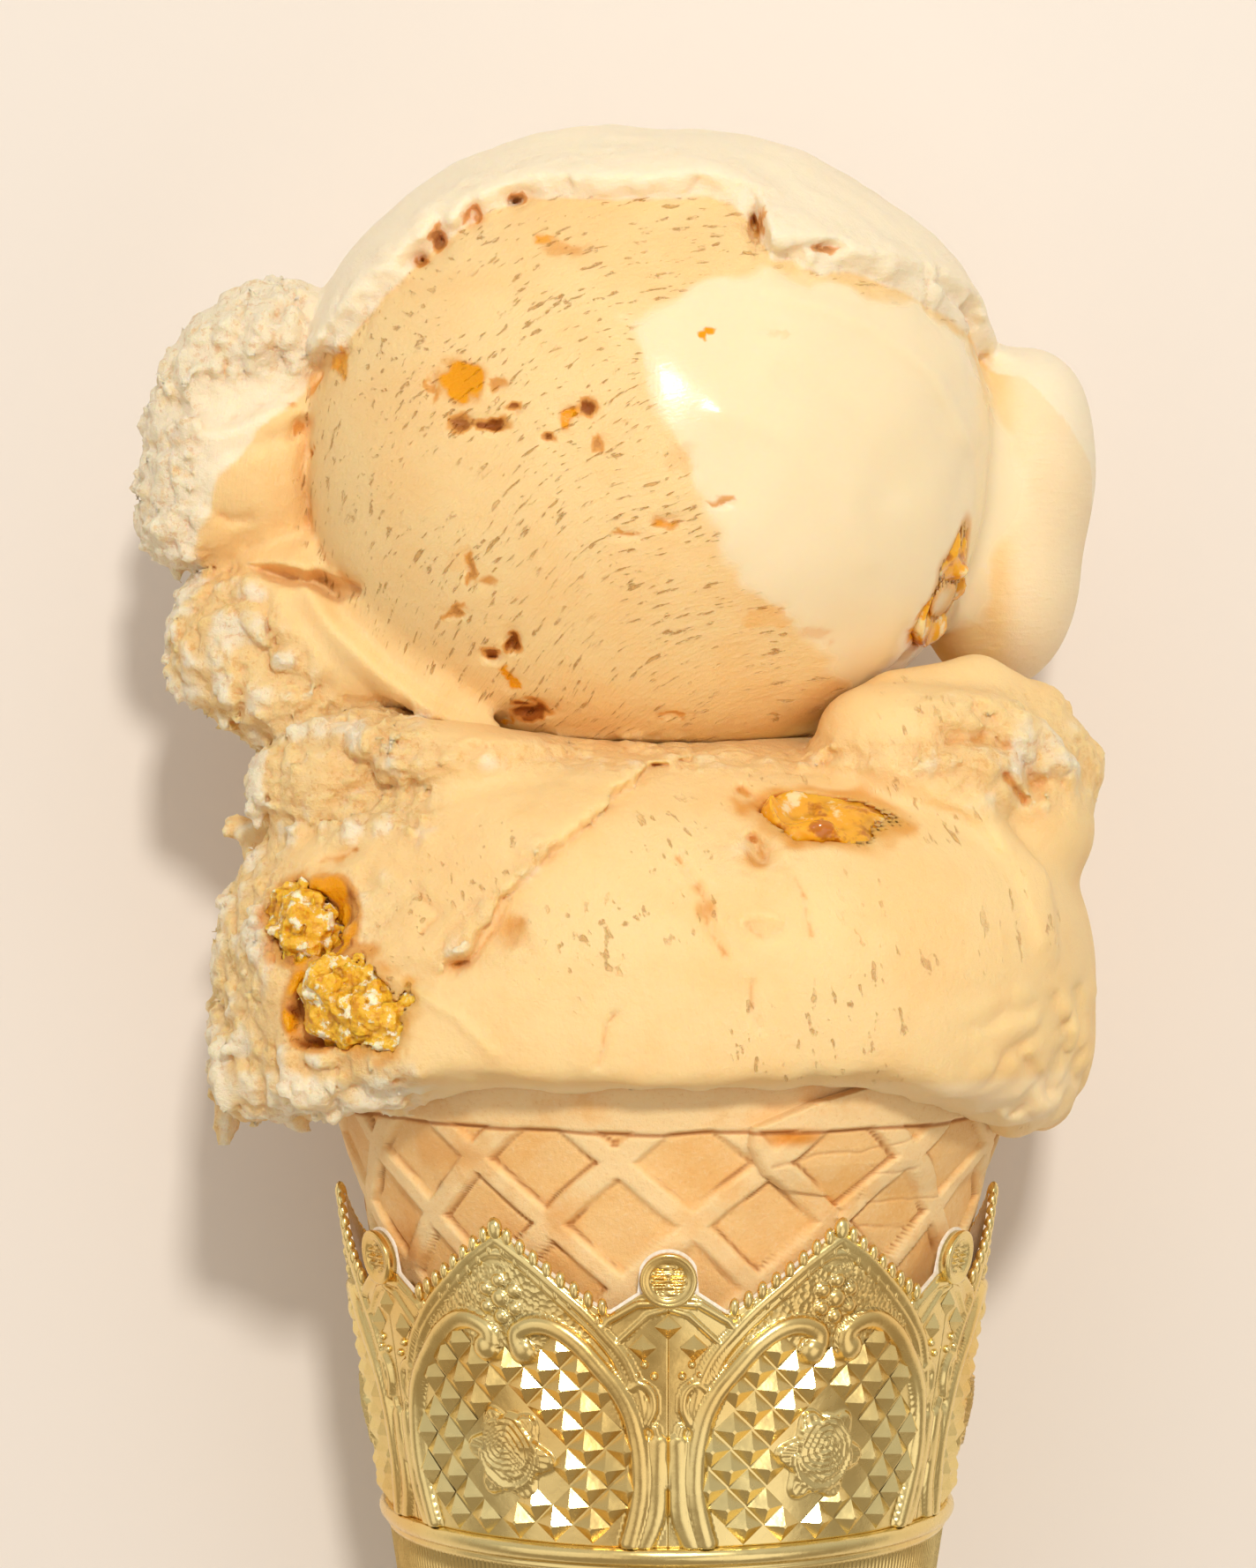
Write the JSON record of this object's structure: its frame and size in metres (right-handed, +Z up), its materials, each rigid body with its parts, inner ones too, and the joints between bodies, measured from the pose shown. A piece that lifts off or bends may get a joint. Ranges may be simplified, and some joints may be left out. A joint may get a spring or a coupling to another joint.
{
  "type": "ice cream cone",
  "caption": "Double scoop of caramel ice cream with honeycomb in a rolled waffle cone and an embossed gold foil sleeve, lying on its back.",
  "frame": {"origin": "centre of the small flat spot under the lower scoop, on the surface the cone lies on", "axes": "+Z up, away from the surface; +Y along the cone's axis from its tip to the ice cream; +X to the right as seen from above with the ice cream at the top"},
  "size_m": [0.0955, 0.2231, 0.0814],
  "materials": {
    "ice_cream": "scooped caramel ice cream, matt with torn pores, glossy where it melts",
    "caramel": "wet amber caramel",
    "honeycomb": "crumbly golden honeycomb toffee soaked in syrup",
    "waffle": "dry baked waffle, browned on ridges and edges",
    "gold_foil": "embossed gold foil paper with white paper inside"
  },
  "bodies": {
    "root": {"upper_scoop": "ice_cream", "lower_scoop": "ice_cream", "caramel_piece_upper": "caramel", "caramel_piece_seam": "caramel", "honeycomb_piece_front": "honeycomb", "honeycomb_piece_side": "honeycomb", "waffle_cone": "waffle", "foil_sleeve": "gold_foil"}
  },
  "joints": []
}
